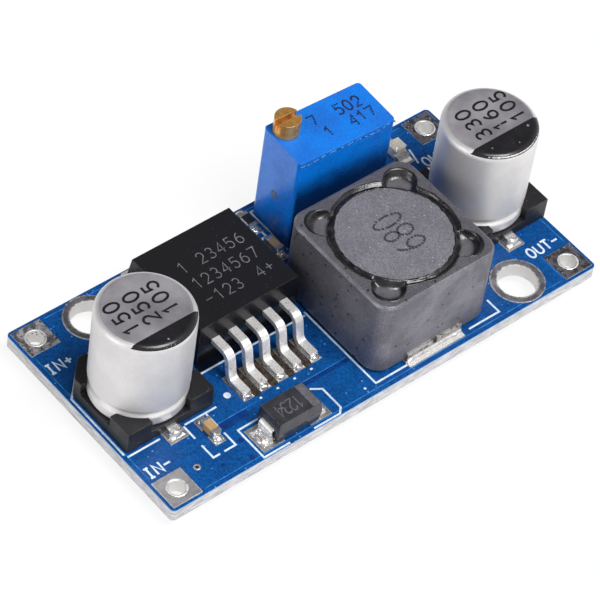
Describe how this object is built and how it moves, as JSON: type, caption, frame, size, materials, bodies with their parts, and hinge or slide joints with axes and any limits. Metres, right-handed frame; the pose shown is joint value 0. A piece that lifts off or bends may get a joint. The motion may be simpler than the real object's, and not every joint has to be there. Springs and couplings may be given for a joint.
{
  "type": "buck converter module",
  "caption": "Small circuit module that lowers a direct voltage: board with input and output capacitors, regulator, shielded inductor, diode and a screw-adjusted trimmer.",
  "frame": {"origin": "centre of the board's underside, which is also the middle between its two fixing holes", "axes": "+X along the board from the input end to the output end, +Y across it from the negative terminals to the positive ones, +Z out of the side that carries the components"},
  "size_m": [0.0436, 0.021, 0.0138],
  "materials": {
    "solder_mask": "glossy blue solder mask over glass-fibre laminate",
    "tinned_plating": "hot-air levelled tin over copper",
    "solder": "bright solder with soft dents",
    "can_aluminium": "satin drawn aluminium",
    "black_base": "moulded black plastic",
    "tinned_lead": "matt tin",
    "mould_compound": "fine-grained black mould compound",
    "diode_compound": "dark grey mould compound",
    "ferrite_shield": "fine-grained grey ferrite",
    "ferrite_core": "ground grey ferrite",
    "enamelled_wire": "enamelled copper wire",
    "adhesive": "glossy black epoxy",
    "blue_housing": "blue moulded plastic",
    "brass_screw": "turned brass",
    "rubber_ring": "matt rubber",
    "wheel_plastic": "natural moulded plastic",
    "spring_metal": "plated spring metal",
    "ceramic": "fired white ceramic",
    "track_film": "fired resistive film",
    "potting": "cast epoxy",
    "tan_ceramic": "fired tan ceramic",
    "film": "glazed black film",
    "cream_plastic": "cream moulded plastic",
    "clear_lens": "cloudy clear resin"
  },
  "bodies": {
    "module": {"circuit_board": "solder_mask", "fixing_hole_rings": "tinned_plating", "input_positive_pad": "tinned_plating", "input_negative_pad": "tinned_plating", "output_positive_pad": "tinned_plating", "output_negative_pad": "tinned_plating", "component_lands": "tinned_plating", "input_capacitor_can": "can_aluminium", "input_capacitor_base": "black_base", "input_capacitor_leads": "tinned_lead", "output_capacitor_can": "can_aluminium", "output_capacitor_base": "black_base", "output_capacitor_leads": "tinned_lead", "capacitor_solder": "solder", "regulator_body": "mould_compound", "regulator_tab": "tinned_lead", "regulator_leads": "tinned_lead", "regulator_solder": "solder", "inductor_shield": "ferrite_shield", "inductor_core": "ferrite_core", "inductor_winding": "enamelled_wire", "inductor_adhesive": "adhesive", "inductor_terminals": "tinned_lead", "inductor_solder": "solder", "diode_body": "diode_compound", "diode_leads": "tinned_lead", "diode_solder": "solder", "trimmer_housing": "blue_housing", "trimmer_seal_ring": "rubber_ring", "trimmer_element": "ceramic", "trimmer_track": "track_film", "trimmer_pins": "tinned_lead", "trimmer_potting": "potting", "trimmer_pin_lands": "tinned_plating", "trimmer_solder": "solder", "input_chip_capacitor": "tan_ceramic", "feedback_chip_capacitor": "tan_ceramic", "feedback_resistor": "ceramic", "indicator_resistor": "ceramic", "resistor_films": "film", "chip_ends": "tinned_lead", "chip_solder": "solder", "indicator_base": "cream_plastic", "indicator_lens": "clear_lens", "indicator_ends": "tinned_lead"},
    "screw": {"trimmer_screw": "brass_screw"},
    "wheel": {"trimmer_wheel": "wheel_plastic", "trimmer_wiper": "spring_metal"}
  },
  "joints": [
    {"name": "screw_turn", "type": "hinge", "parent": "module", "child": "screw", "pos_m": [0.00334, 0.00835, 0.0113], "axis": [0, 0, 1], "continuous": true},
    {"name": "wheel_turn", "type": "hinge", "parent": "module", "child": "wheel", "pos_m": [0.00696, 0.00819, 0.0059], "axis": [0.0436, 0.999, 0], "continuous": true}
  ],
  "couplings": [
    {"joint": "wheel_turn", "follows": "screw_turn", "ratio": -0.03125}
  ]
}
